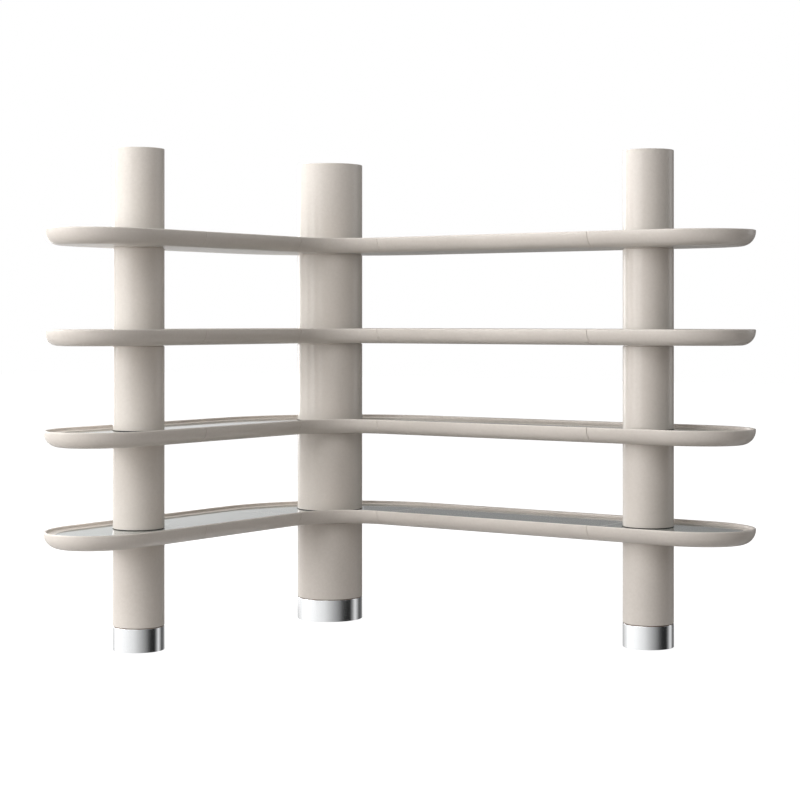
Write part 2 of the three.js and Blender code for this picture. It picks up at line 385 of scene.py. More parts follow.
def glass_sheet():
    sheet = copy_of_deck()
    bpy.ops.mesh.select_all(action="SELECT")
    bpy.ops.transform.translate(value=(0, 0, glass_low.z - deck_height))
    pull(glass_high.z - glass_low.z)
    face_outwards()
    bpy.ops.object.mode_set(mode="OBJECT")
    for name in COLUMN_NAMES:
        cut_round(sheet, column_axis[name], column_radius[name] + GLASS_HOLE_GAP)
    bpy.ops.object.mode_set(mode="EDIT")
    choose(sheet, "EDGE", lambda e: lies_at(e, glass_high.z) and e.calc_face_angle(0) > SHARP_ANGLE)
    bevel(ARRIS, ARRIS_SEGMENTS)
    bpy.ops.object.mode_set(mode="OBJECT")
    return sheet


sheet = glass_sheet()
print("glass sheet:", len(sheet.data.polygons), "faces")

# %% [markdown]
# ## Bores for the tie rods
# A steel rod runs down inside each column and clamps the whole stack, so every tray has a bore on
# each column's axis. The bores are hidden once the columns stand, but the rods need their room.

# %% Bores
ROD_BORE_RADIUS = 0.011
for name in COLUMN_NAMES:
    cut_round(blank, column_axis[name], ROD_BORE_RADIUS)
print("bored tray blank:", len(blank.data.polygons), "faces")

# %% [markdown]
# ## From one blank to five modules
# A tray this long is made and shipped as five modules: two ends, two straights and the corner. The
# blank is copied once for each module and cut with the bisect operator, which also fills the cut.
# The rim of each cut is then bevelled, because leather always rolls softly over an edge. Two such
# edges with a narrow gap between them make the fine seam line across the lip and the bowl.
#
# An edge that runs along a cut and lies nearer to it than the bevel reaches would be crossed by the
# bevel, and the faces there would fold over. Such edges are dissolved first.

# %% Cutting a module
TRAY_JOINT = 0.0009        # open joint between the leather of two modules
SEAM_ROUND = 0.0018
SEAM_SEGMENTS = 3
CROSSES_CUT = 0.9          # an edge that points at the cut more than this runs across it
CLEARED_RADII = 2          # stray edges are cleared this many bevel radii from a cut
CUT_THRESHOLD = TINY / 10  # the operator's default would leave points beside the plane
module_cuts = {
    "left_end": [((0, left_seam, 0), ALONG_Y)],
    "left_span": [((0, left_seam, 0), AGAINST_Y), ((0, bend_y, 0), ALONG_Y)],
    "corner": [((0, bend_y, 0), AGAINST_Y), ((bend_x, 0, 0), ALONG_X)],
    "right_span": [((bend_x, 0, 0), AGAINST_X), ((right_seam, 0, 0), ALONG_X)],
    "right_end": [((right_seam, 0, 0), AGAINST_X)],
}


def copy_of(source, name):
    """A copy with its own mesh, as the only selected object."""
    twin = source.copy()
    twin.data = source.data.copy()
    bpy.context.scene.collection.objects.link(twin)
    return only(twin, name)


def clear_beside_cut(part, place, side, reach):
    """Dissolves edges that run along a cut and lie so near it that the bevel would cross them."""
    def is_stray(edge):
        away = max(abs((v.co - place).dot(side)) for v in edge.verts)
        along = (edge.verts[1].co - edge.verts[0].co).normalized()
        return TINY < away < reach and abs(along.dot(side)) < CROSSES_CUT
    choose(part, "EDGE", is_stray)
    bpy.ops.mesh.dissolve_edges(use_verts=True)


def cut_module(source, module, gap, rounding, segments):
    """A copy of the source, cut off at the seams of one module, with its cut edges rounded."""
    part = copy_of(source, f"{source.name}_{module}")
    bpy.ops.object.mode_set(mode="EDIT")
    for seam, removed_side in module_cuts[module]:
        side = Vector(removed_side)
        place = Vector(seam) - side * gap / 2
        bpy.ops.mesh.select_mode(type="EDGE")
        bpy.ops.mesh.select_all(action="SELECT")
        bpy.ops.mesh.bisect(plane_co=place, plane_no=side, threshold=CUT_THRESHOLD,
                            use_fill=True, clear_outer=True)
        clear_beside_cut(part, place, side, CLEARED_RADII * rounding)
        choose(part, "EDGE", lambda e: all(abs((v.co - place).dot(side)) < TINY for v in e.verts))
        bevel(rounding, segments)
    bpy.ops.object.mode_set(mode="OBJECT")
    return part


tray_modules = {module: cut_module(blank, module, TRAY_JOINT, SEAM_ROUND, SEAM_SEGMENTS)
                for module in module_cuts}
glass_modules = {module: cut_module(sheet, module, SEAM_GAP, ARRIS, ARRIS_SEGMENTS)
                 for module in module_cuts}
discard(blank)
discard(sheet)
print("tray modules:", [len(part.data.polygons) for part in tray_modules.values()], "faces")

# %% [markdown]
# ## A ground band beside each glass joint, partly painted highlight
# Where two panes meet, a pale strip runs along the joint. It is made as a band of ground glass along
# both edges of the joint, and its pale tone is partly painted highlight. A finish can only change from
# face to face, so bisect scores a line across the pane beside each joint, without cutting anything off.

# %% Score the panes
JOINT_BAND = 0.010


def score_joints(pane, module):
    """Splits the faces of a pane along a line beside each joint."""
    only(pane, pane.name)
    bpy.ops.object.mode_set(mode="EDIT")
    for seam, removed_side in module_cuts[module]:
        place = Vector(seam) - Vector(removed_side) * JOINT_BAND
        bpy.ops.mesh.select_all(action="SELECT")
        bpy.ops.mesh.bisect(plane_co=place, plane_no=removed_side, threshold=CUT_THRESHOLD)
    bpy.ops.object.mode_set(mode="OBJECT")


for module in module_cuts:
    score_joints(glass_modules[module], module)
print("glass modules:", [len(pane.data.polygons) for pane in glass_modules.values()], "faces")

# %% [markdown]
# ## Smooth shading
# Curved faces should shade as one surface and flat ones should stay flat. Shading by angle keeps
# the sharp edges, and the modifier Weighted Normal gives large faces the last word on the normals.

# %% Smooth the modules
GLASS_SHARP_ANGLE = math.radians(8)


def smooth(piece, sharp_angle):
    only(piece, piece.name)
    bpy.ops.object.shade_smooth_by_angle(angle=sharp_angle)
    weighted = piece.modifiers.new("weighted_normals", "WEIGHTED_NORMAL")
    weighted.keep_sharp = True
    bpy.ops.object.modifier_apply(modifier=weighted.name)


for module in module_cuts:
    smooth(tray_modules[module], SHARP_ANGLE)
    smooth(glass_modules[module], GLASS_SHARP_ANGLE)
print("smoothed:", len(tray_modules) + len(glass_modules), "pieces")

# %% [markdown]
# ## Tubes
# Column segments and plinth rings are tubes. A tube starts as a cylinder whose two ends are inset to
# the thickness of the wall. Bridging the two inner faces opens the bore, and the edges of a rim can
# be found by their radius and height.

# %% Helpers for tubes
RADIUS_SLACK = 1e-4


def cylinder(axis, radius, bottom, top):
    place = (axis.x, axis.y, (bottom + top) / 2)
    return start(bpy.ops.mesh.primitive_cylinder_add,
                 vertices=COLUMN_SIDES, radius=radius, depth=top - bottom, location=place)


def distance_from(axis, place):
    return math.hypot(place.x - axis.x, place.y - axis.y)


def end_face(piece, height):
    choose(piece, "FACE", lambda f: lies_at(f, height))


def open_bore(piece, axis, bottom, top):
    """Bridges the round faces in the middle of both ends into a bore."""
    def is_middle(face):
        on_axis = distance_from(axis, face.calc_center_median()) < RADIUS_SLACK
        return on_axis and (lies_at(face, bottom) or lies_at(face, top))
    choose(piece, "FACE", is_middle)
    bpy.ops.mesh.bridge_edge_loops()


def round_edges(piece, axis, rims, radius, segments):
    """Bevels the round edges given as pairs of radius and height."""
    def at_radius(edge, wanted):
        return all(abs(distance_from(axis, v.co) - wanted) < RADIUS_SLACK for v in edge.verts)

    def is_rim(edge):
        return any(at_radius(edge, wanted) and lies_at(edge, height) for wanted, height in rims)
    choose(piece, "EDGE", is_rim)
    bevel(radius, segments)


print("edges count as round within", RADIUS_SLACK, "m")

# %% [markdown]
# ## Column covers
# Each column is a stack of leather-covered tubes, one between each pair of trays. The top of a tube
# is pulled up into a narrow neck, which is the dark line under each tray, and where it stands on a
# tray its foot has such a neck too. The outer edges are bevelled where the leather folds over. The
# leather meets itself in one closing seam on the side that faces the wall: an edge there is bevelled
# and its middle pushed in to a groove.

# %% Column covers
LEVELS = (1, 2, 3, 4)
COLUMN_WALL = 0.014
NECK_HEIGHT = 0.004
NECK_RECESS = 0.004
FOOT_REVEAL = 0.0015       # height of the foot neck that shows above the glass
FOOT_HEIGHT = glass_high.z - deck_height + FOOT_REVEAL
FOLD_RADIUS = 0.0022
FOLD_SEGMENTS = 4
GROOVE = 0.0007
GROOVE_SEGMENTS = 2
seam_side = {
    "left": Vector(AGAINST_X),
    "corner": Vector((-1, 1, 0)).normalized(),
    "right": Vector(ALONG_Y),
}


def narrow_end(piece, height, length):
    """Pulls the end face at that height into a narrow neck, and insets it to the wall's thickness."""
    end_face(piece, height)
    bpy.ops.mesh.inset(thickness=NECK_RECESS)
    pull(length)
    bpy.ops.mesh.inset(thickness=COLUMN_WALL - NECK_RECESS)


def closing_seam(piece, axis, radius, towards):
    """A fine upright groove where the two edges of the covering meet."""
    line = axis + towards * radius

    def on_line(edge):
        return all(distance_from(line, v.co) < RADIUS_SLACK for v in edge.verts)
    choose(piece, "EDGE", on_line)
    bevel(GROOVE, GROOVE_SEGMENTS)
    choose(piece, "EDGE", on_line)
    bpy.ops.transform.translate(value=-towards * GROOVE)


def column_cover(name, level):
    axis, radius = column_axis[name], column_radius[name]
    low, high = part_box(f"{name}_column_segment_{level}")
    shoulder = high.z - NECK_HEIGHT
    stands_on_tray = level != LEVELS[0]
    foot = low.z + FOOT_HEIGHT if stands_on_tray else low.z
    cover = cylinder(axis, radius, foot, shoulder)
    narrow_end(cover, shoulder, NECK_HEIGHT)
    if stands_on_tray:
        narrow_end(cover, foot, -FOOT_HEIGHT)
    else:
        end_face(cover, foot)
        bpy.ops.mesh.inset(thickness=COLUMN_WALL)
    open_bore(cover, axis, low.z, high.z)
    round_edges(cover, axis, [(radius, foot), (radius, shoulder)], FOLD_RADIUS, FOLD_SEGMENTS)
    closing_seam(cover, axis, radius, seam_side[name])
    return finished(cover, f"{name}_cover_{level}")


covers = {name: [column_cover(name, level) for level in LEVELS] for name in COLUMN_NAMES}
print("column covers:", sum(len(found) for found in covers.values()))

# %% [markdown]
# ## Column tops
# Above the highest tray each column ends in a short tube. Its top is stepped inside, first to take
# the covered cap and lower down to seat the clamp plate. The cap is a shallow cup turned over: its
# lower face is inset and pulled up, which leaves a skirt that stands on the clamp plate.

# %% Column tops and caps
CLAMP_SHOULDER = 0.006
CAP_GAP = 0.0003
CAP_SKIRT = 0.008
CAP_DISC = 0.010
MOUTH_RADIUS = 0.0012
MOUTH_SEGMENTS = 3
TOP_LEVEL = LEVELS[-1] + 1


def column_top(name):
    axis, radius = column_axis[name], column_radius[name]
    low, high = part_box(f"{name}_column_segment_{TOP_LEVEL}")
    mouth = radius - COLUMN_WALL + CLAMP_SHOULDER
    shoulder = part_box(f"{name}_clamp_nut")[0].z - CAP_GAP
    foot = low.z + FOOT_HEIGHT
    cover = cylinder(axis, radius, foot, high.z)
    end_face(cover, high.z)
    bpy.ops.mesh.inset(thickness=radius - mouth)
    pull(shoulder - high.z)
    bpy.ops.mesh.inset(thickness=CLAMP_SHOULDER)
    narrow_end(cover, foot, -FOOT_HEIGHT)
    open_bore(cover, axis, low.z, shoulder)
    round_edges(cover, axis, [(radius, foot), (radius, high.z)], FOLD_RADIUS, FOLD_SEGMENTS)
    round_edges(cover, axis, [(mouth, high.z)], MOUTH_RADIUS, MOUTH_SEGMENTS)
    closing_seam(cover, axis, radius, seam_side[name])
    return finished(cover, f"{name}_cover_{TOP_LEVEL}")


def column_cap(name):
    axis = column_axis[name]
    low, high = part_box(f"{name}_top_cap")
    radius = (high.x - low.x) / 2
    cap = cylinder(axis, radius, low.z, high.z)
    end_face(cap, low.z)
    bpy.ops.mesh.inset(thickness=CAP_SKIRT)
    pull(high.z - CAP_DISC - low.z)
    round_edges(cap, axis, [(radius, high.z)], FOLD_RADIUS, FOLD_SEGMENTS)
    return finished(cap, f"{name}_cap")


for name in COLUMN_NAMES:
    covers[name].append(column_top(name))
caps = {name: column_cap(name) for name in COLUMN_NAMES}
print("column tops and caps:", len(caps))

# %% [markdown]
# ## Plinths
# The foot of each column is a turned wooden block in a bright metal ring. The ring is a thin tube
# with its sharp edges taken off. The block is a solid with a narrow neck, which stands a little
# above the ring and leaves a dark reveal between metal and leather.

# %% Plinth rings and blocks
RING_WALL = 0.003
RING_EDGE = 0.0012
RING_EDGE_SEGMENTS = 3
PLINTH_REVEAL = 0.0025


def plinth_ring(name):
    axis, radius = column_axis[name], column_radius[name]
    low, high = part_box(f"{name}_plinth_ring")
    band = cylinder(axis, radius, low.z, high.z)
    choose(band, "FACE", lambda f: lies_at(f, low.z) or lies_at(f, high.z))
    bpy.ops.mesh.inset(thickness=RING_WALL)
    open_bore(band, axis, low.z, high.z)
    round_edges(band, axis, [(radius, low.z), (radius, high.z)], RING_EDGE, RING_EDGE_SEGMENTS)
    return finished(band, f"{name}_ring")


def plinth_block(name):
    axis = column_axis[name]
    low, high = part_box(f"{name}_plinth_block")
    radius = (high.x - low.x) / 2
    neck = column_radius[name] - NECK_RECESS
    block = cylinder(axis, radius, low.z, high.z - PLINTH_REVEAL)
    end_face(block, high.z - PLINTH_REVEAL)
    bpy.ops.mesh.inset(thickness=radius - neck)
    pull(PLINTH_REVEAL)
    bpy.ops.mesh.inset(thickness=neck - ROD_BORE_RADIUS)
    end_face(block, low.z)
    bpy.ops.mesh.inset(thickness=radius - ROD_BORE_RADIUS)
    open_bore(block, axis, low.z, high.z)
    return finished(block, f"{name}_block")


rings = {name: plinth_ring(name) for name in COLUMN_NAMES}
blocks = {name: plinth_block(name) for name in COLUMN_NAMES}
for name in COLUMN_NAMES:
    for piece in [*covers[name], caps[name], rings[name], blocks[name]]:
        smooth(piece, SHARP_ANGLE)
print("plinths:", len(rings))

# %% [markdown]
# ## Node helpers
# A procedural material is a small network. One helper adds a node and plugs values and links into
# it, and one makes a ramp. All patterns read Object coordinates. Every piece has its origin at the
# room's origin, so these are metres in the room, and a pattern has its real size on every piece.

# %% Node helpers
NOISE_LOW, NOISE_HIGH = 0.3, 0.7     # nearly all values of a noise lie between these


def new_material(name):
    made = bpy.data.materials.new(name)
    made.use_nodes = True
    tree = made.node_tree
    return made, tree, tree.nodes["Principled BSDF"]


def plug(tree, target, inputs):
    """Sets sockets to values, or links them where the value is another node's output."""
    for socket, value in inputs.items():
        if isinstance(value, bpy.types.NodeSocket):
            tree.links.new(value, target.inputs[socket])
        else:
            target.inputs[socket].default_value = value


def node(tree, kind, inputs, **settings):
    made = tree.nodes.new(kind)
    for key, value in settings.items():
        setattr(made, key, value)
    plug(tree, made, inputs)
    return made


def ramp(tree, factor, stops):
    """A colour ramp. Stops are pairs of a position and a grey value or a linear colour."""
    made = node(tree, "ShaderNodeValToRGB", {"Fac": factor})
    points = made.color_ramp.elements
    while len(points) < len(stops):
        points.new(0)
    for point, (position, colour) in zip(points, stops):
        point.position = position
        point.color = (*colour, 1) if isinstance(colour, tuple) else (colour, colour, colour, 1)
    return made.outputs["Color"]


def spread(tree, pattern, low, high):
    """A ramp from one tone to another over the whole range of a noise."""
    return ramp(tree, pattern, [(NOISE_LOW, low), (NOISE_HIGH, high)])


print("a noise is spread from", NOISE_LOW, "to", NOISE_HIGH)

# %% Pattern helpers
def object_place(tree):
    return node(tree, "ShaderNodeTexCoord", {}).outputs["Object"]


def stretched(tree, place, scale):
    return node(tree, "ShaderNodeMapping", {"Vector": place, "Scale": scale}).outputs["Vector"]


def noise(tree, place, scale, detail=2, roughness=0.5):
    made = node(tree, "ShaderNodeTexNoise",
                {"Vector": place, "Scale": scale, "Detail": detail, "Roughness": roughness})
    return made.outputs["Fac"]


def calculate(tree, operation, first, second):
    made = node(tree, "ShaderNodeMath", {0: first, 1: second}, operation=operation)
    return made.outputs["Value"]


def bump(tree, height, distance, strength, under=None):
    inputs = {"Height": height, "Distance": distance, "Strength": strength}
    if under is not None:
        inputs["Normal"] = under
    return node(tree, "ShaderNodeBump", inputs).outputs["Normal"]


def report(material):
    print(material.name, "has", len(material.node_tree.nodes), "nodes")
    return material


print("patterns read Object coordinates, in metres")

# %% [markdown]
# ## Leather
# The leather is a pale, warm greige with a fine pebble grain. Voronoi cells about two millimetres
# wide are the pebbles, and a finer noise is the wrinkle between the pores. The tone drifts slowly
# over a hide and has a fine mottle. Rims that hands and dusters touch are a little paler: they read
# the attribute called worn, which a later cell writes.

# %% Leather
LEATHER_DEEP = (0.668, 0.614, 0.560)
LEATHER_MEAN = (0.692, 0.637, 0.584)
LEATHER_PALE = (0.714, 0.659, 0.606)
LEATHER_WORN = (0.780, 0.728, 0.676)
LEATHER_ROUGHNESS = (0.50, 0.62)
DRIFT_SCALE = 3.5
MOTTLE_SCALE = 85
PEBBLE_SCALE = 520
PEBBLE_HEIGHT = 0.00025
WRINKLE_SCALE = 1400
WRINKLE_HEIGHT = 0.00012


def leather_tone(tree, place, mottle):
    """The drift and mottle of the hide, mixed with the paler tone of worn rims."""
    drift = noise(tree, place, DRIFT_SCALE, detail=3)
    both = calculate(tree, "MULTIPLY", calculate(tree, "ADD", drift, mottle), 0.5)
    hide = ramp(tree, both, [(0.36, LEATHER_DEEP), (0.5, LEATHER_MEAN), (0.64, LEATHER_PALE)])
    worn = node(tree, "ShaderNodeAttribute", {}, attribute_name="worn").outputs["Fac"]
    rubbed = calculate(tree, "MULTIPLY", worn, mottle)
    mixed = node(tree, "ShaderNodeMix", {0: rubbed, 6: hide, 7: (*LEATHER_WORN, 1)}, data_type="RGBA")
    return mixed.outputs[2]


def leather_grain(tree, place):
    """The wrinkle as a shallow bump, with the pebbles on top of it."""
    pebble = node(tree, "ShaderNodeTexVoronoi",
                  {"Vector": place, "Scale": PEBBLE_SCALE}, feature="SMOOTH_F1")
    wrinkle = noise(tree, place, WRINKLE_SCALE, detail=3, roughness=0.65)
    fine = bump(tree, wrinkle, WRINKLE_HEIGHT, strength=0.25)
    return bump(tree, pebble.outputs["Distance"], PEBBLE_HEIGHT, strength=0.32, under=fine)


def leather():
    made, tree, surface = new_material("pale_leather")
    place = object_place(tree)
    mottle = noise(tree, place, MOTTLE_SCALE, detail=4, roughness=0.6)
    plug(tree, surface, {
        "Base Color": leather_tone(tree, place, mottle),
        "Roughness": spread(tree, mottle, *LEATHER_ROUGHNESS),
        "Normal": leather_grain(tree, place),
        "Specular IOR Level": 0.2,
        "Coat Weight": 0.5,
        "Coat Roughness": 0.18,
        "Coat IOR": 1.35,
    })
    return made


LEATHER = report(leather())

# %% [markdown]
# ## Glass
# The glass is clear on top and lacquered grey-green underneath, so it is opaque and mirrors the room
# at a low angle. A light film of dust and wiping marks breaks the mirror a little. The arrises and
# the bands beside the joints are ground, so they are pale and a little duller, and their pale tone is
# partly painted highlight. The upright cut edges show the green of the glass itself.

# %% Glass
GLASS_DARK = (0.235, 0.260, 0.245)
GLASS_LIGHT = (0.275, 0.300, 0.284)
GLASS_CLEAN, GLASS_WIPED = 0.035, 0.10
# pale tones of the ground glass, partly painted highlight along the joints and arrises
GROUND_AND_HIGHLIGHT_DARK = (0.42, 0.43, 0.41)
GROUND_AND_HIGHLIGHT_LIGHT = (0.50, 0.51, 0.48)
GROUND_ROUGHNESS = (0.06, 0.12)
CUT_DARK = (0.090, 0.155, 0.125)
CUT_LIGHT = (0.150, 0.230, 0.190)
CUT_ROUGHNESS = (0.12, 0.25)


def lacquered_glass():
    made, tree, surface = new_material("lacquered_glass")
    place = object_place(tree)
    cloud = noise(tree, place, scale=5, detail=3)
    wiped = noise(tree, stretched(tree, place, (3, 40, 1)), scale=2.5, detail=5, roughness=0.6)
    waves = noise(tree, place, scale=2.2, detail=1)
    plug(tree, surface, {
        "Base Color": ramp(tree, cloud, [(0.35, GLASS_DARK), (0.65, GLASS_LIGHT)]),
        "Roughness": ramp(tree, wiped, [(0.35, GLASS_CLEAN), (NOISE_HIGH, GLASS_WIPED)]),
        "Specular IOR Level": 0.5,
        "Normal": bump(tree, waves, distance=0.0008, strength=0.15),
    })
    return made


def ground_glass_and_highlight():
    made, tree, surface = new_material("ground_glass_arris_painted_highlight")
    frost = noise(tree, object_place(tree), scale=900, detail=3)
    plug(tree, surface, {
        # the pale ground tone is partly painted highlight
        "Base Color": spread(tree, frost, GROUND_AND_HIGHLIGHT_DARK, GROUND_AND_HIGHLIGHT_LIGHT),
        "Roughness": spread(tree, frost, *GROUND_ROUGHNESS),
    })
    return made


def cut_glass():
    made, tree, surface = new_material("cut_glass_edge")
    streak = noise(tree, stretched(tree, object_place(tree), (60, 60, 900)), scale=1, detail=3)
    plug(tree, surface, {
        "Base Color": spread(tree, streak, CUT_DARK, CUT_LIGHT),
        "Roughness": spread(tree, streak, *CUT_ROUGHNESS),
    })
    return made


GLASS = report(lacquered_glass())
GROUND_GLASS_AND_HIGHLIGHT = report(ground_glass_and_highlight())
CUT_GLASS = report(cut_glass())

# %% [markdown]
# ## Bright metal
# The ring was polished while it turned, so its finest marks run round it. A noise that is squeezed
# hard in height gives such marks, both in the roughness and as a very shallow bump.

# %% Bright metal
METAL_HAZY = (0.875, 0.885, 0.893)
METAL_CLEAR = (0.895, 0.903, 0.910)
METAL_ROUGHNESS = (0.10, 0.19)


def bright_metal():
    made, tree, surface = new_material("bright_ring_metal")
    place = object_place(tree)
    turned = noise(tree, stretched(tree, place, (5, 5, 1500)), scale=1, detail=3, roughness=0.6)
    haze = noise(tree, place, scale=24, detail=3)
    plug(tree, surface, {
        "Base Color": spread(tree, haze, METAL_HAZY, METAL_CLEAR),
        "Metallic": 1.0,
        "Roughness": spread(tree, turned, *METAL_ROUGHNESS),
        "Normal": bump(tree, turned, distance=0.00005, strength=0.12),
    })
    return made


METAL = report(bright_metal())

# %% [markdown]
# ## Hidden pieces
# The blocks, plates, rods, nuts and pads are out of sight, but a piece that is taken apart should
# still look like what it is: wood with growth rings, steel with tool marks, and rubber with a bloom.

# %% Wood, steel and rubber
WOOD_DARK = (0.120, 0.070, 0.040)
WOOD_LIGHT = (0.230, 0.145, 0.085)
WOOD_ROUGHNESS = (0.62, 0.82)
STEEL_DARK = (0.28, 0.28, 0.29)
STEEL_LIGHT = (0.42, 0.42, 0.43)
STEEL_ROUGHNESS = (0.32, 0.48)
RUBBER_DARK = (0.012, 0.012, 0.012)
RUBBER_BLOOM = (0.040, 0.040, 0.042)
RUBBER_ROUGHNESS = (0.72, 0.9)


def turned_wood():
    made, tree, surface = new_material("turned_wood")
    place = object_place(tree)
    growth = node(tree, "ShaderNodeTexWave",
                  {"Vector": place, "Scale": 60, "Distortion": 6, "Detail": 3},
                  wave_type="RINGS", rings_direction="X")
    fibre = noise(tree, stretched(tree, place, (30, 300, 300)), scale=1, detail=4)
    plug(tree, surface, {
        "Base Color": ramp(tree, growth.outputs["Fac"], [(0.2, WOOD_DARK), (0.8, WOOD_LIGHT)]),
        "Roughness": spread(tree, fibre, *WOOD_ROUGHNESS),
        "Normal": bump(tree, fibre, distance=0.0003, strength=0.3),
    })
    return made


def machined_steel():
    made, tree, surface = new_material("machined_steel")
    marks = noise(tree, stretched(tree, object_place(tree), (40, 40, 700)), scale=1, detail=3)
    plug(tree, surface, {
        "Base Color": spread(tree, marks, STEEL_DARK, STEEL_LIGHT),
        "Metallic": 1.0,
        "Roughness": spread(tree, marks, *STEEL_ROUGHNESS),
        "Normal": bump(tree, marks, distance=0.0001, strength=0.3),
    })
    return made


def pad_rubber():
    made, tree, surface = new_material("pad_rubber")
    bloom = noise(tree, object_place(tree), scale=130, detail=4)
    plug(tree, surface, {
        "Base Color": ramp(tree, bloom, [(0.35, RUBBER_DARK), (0.75, RUBBER_BLOOM)]),
        "Roughness": spread(tree, bloom, *RUBBER_ROUGHNESS),
        "Normal": bump(tree, bloom, distance=0.0002, strength=0.4),
    })
    return made


WOOD = report(turned_wood())
STEEL = report(machined_steel())
RUBBER = report(pad_rubber())

# %% [markdown]
# ## Dressing the trays
# The module of each kind is copied for every level, raised to its height and given its finish. Every
# new piece rides on the frame's one body, and the measured pieces it stands for are hidden.
#
# An attribute is a number stored at each vertex, and the leather reads the one called worn. It is 1
# on a rim and falls to 0 a few millimetres away, so it is worked out from the height of each vertex.

# %% Dress the trays
WEAR_REACH = 0.006
FLAT_ENOUGH = 0.98         # upward part of the normal of a face that counts as level
STEEP_ENOUGH = 0.2         # and of one that counts as an arris


def mark_wear(piece, rims):
    """Writes the attribute worn: 1 at the heights given, 0 from the wear's reach onwards."""
    worn = piece.data.attributes.new("worn", "FLOAT", "POINT")
    for vertex in piece.data.vertices:
        nearest = min(abs(vertex.co.z - height) for height in rims)
        worn.data[vertex.index].value = max(0.0, 1 - nearest / WEAR_REACH)


def dress(piece, slot, materials, *nodes):
    piece.data.materials.clear()
    for material in materials:
        piece.data.materials.append(material)
    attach(piece, "root")
    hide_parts(*nodes)


def lifted(source, name, rise):
    """A copy that is raised, with its new height put into its mesh."""
    twin = copy_of(source, name)
    bpy.ops.transform.translate(value=(0, 0, rise))
    bpy.ops.object.transform_apply(location=True, rotation=False, scale=False)
    return twin


def beside_joint(place, module):
    """True if a place on a pane lies in the band beside one of the module's joints."""
    return any(abs((place - Vector(seam)).dot(Vector(side))) < JOINT_BAND
               for seam, side in module_cuts[module])


def pane_finish(face, module):
    """0 for the lacquered face, 1 for a ground arris or band with its painted highlight, and 2 for an
    upright cut edge.
    """
    upward = abs(face.normal.z)
    if upward > FLAT_ENOUGH and not beside_joint(face.center, module):
        return 0
    return 1 if upward > STEEP_ENOUGH else 2


for level in LEVELS:
    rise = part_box(f"shelf_{level}_corner")[0].z - tray_floor
    for module in module_cuts:
        tray = lifted(tray_modules[module], f"tray_{level}_{module}", rise)
        mark_wear(tray, [tray_rim + rise])
        dress(tray, "leather", [LEATHER], f"shelf_{level}_{module}")
        pane = lifted(glass_modules[module], f"pane_{level}_{module}", rise)
        dress(pane, "glass", [GLASS, GROUND_GLASS_AND_HIGHLIGHT, CUT_GLASS], f"shelf_{level}_glass")
        for face in pane.data.polygons:
            face.material_index = pane_finish(face, module)
for module in module_cuts:
    discard(tray_modules[module])
    discard(glass_modules[module])
print("trays dressed:", len(LEVELS), "levels of", len(module_cuts), "modules and panes")

# %% [markdown]
# ## Dressing the columns
# Covers and caps get the leather, rings the bright metal and blocks the wood. The neck at the foot
# of a cover is a ring of black rubber that keeps the column off the glass, and its black also stands in
# for the shadow in the gap under the column, so it is partly painted shade. It is part of the cover's
# mesh, so its faces get a second material. The measured plates, rods, nuts and pads stay as they
# are and only get a better material.

# %% Dress the columns
def in_foot_neck(face, axis, neck_radius, foot):
    return abs(distance_from(axis, face.center) - neck_radius) < NECK_RECESS / 2 and face.center.z < foot


for name in COLUMN_NAMES:
    neck_radius = column_radius[name] - NECK_RECESS
    for number, cover in enumerate(covers[name], start=1):
        node_name = f"{name}_column_segment_{number}"
        low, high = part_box(node_name)
        mark_wear(cover, [low.z, high.z])
        dress(cover, "leather", [LEATHER, RUBBER], node_name)
        for face in cover.data.polygons:
            # the black rubber of the foot neck also stands in for the shadow in the gap under the
            # column: partly painted shade
            is_rubber_and_shade = in_foot_neck(face, column_axis[name], neck_radius, low.z + FOOT_HEIGHT)
            face.material_index = 1 if is_rubber_and_shade else 0
    mark_wear(caps[name], [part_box(f"{name}_top_cap")[1].z])
    dress(caps[name], "leather", [LEATHER], f"{name}_top_cap")
    dress(rings[name], "chrome", [METAL], f"{name}_plinth_ring")
    dress(blocks[name], "timber", [WOOD], f"{name}_plinth_block")
    for part, material in [("base_plate", STEEL), ("tie_rod", STEEL), ("clamp_nut", STEEL),
                           ("floor_pad", RUBBER)]:
        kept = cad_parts[f"{name}_{part}"]
        kept.data.materials.clear()
        kept.data.materials.append(material)
print("columns dressed:", len(COLUMN_NAMES))

# %% [markdown]
# ## Floor and background
# The floor is a wide pale sheet. To the camera it glows almost to white by itself and adds the light
# that falls on it, so it ends in white and still keeps the dark of a shadow. To all other rays it is
# plain pale paint that throws light back up under the trays. The world does the same: white for the
# eye, for mirrors and through glass, and a soft even light for everything else.
#
# Mirrors don't see the floor at all, because it would cover the bands that the next step puts round
# the low rings.

# %% Floor
FLOOR_SIZE = 60
NEAR_GLOW = 0.92
FAR_GLOW = 1.0
SHADOW_REACH = 4.0         # distance at which the floor has its far glow
NEAR_SHARE = 0.6           # share of the way in from there at which the near glow begins
FLOOR_SEEN_SHARE = 0.25
FLOOR_PAINT = (0.40, 0.39, 0.38, 1)


def seen_directly(tree):
    """1 for rays from the camera, and for mirrored and refracted ones."""
    path = node(tree, "ShaderNodeLightPath", {}).outputs
    seen_or_mirrored = calculate(tree, "MAXIMUM", path["Is Camera Ray"], path["Is Glossy Ray"])
    return calculate(tree, "MAXIMUM", seen_or_mirrored, path["Is Transmission Ray"])


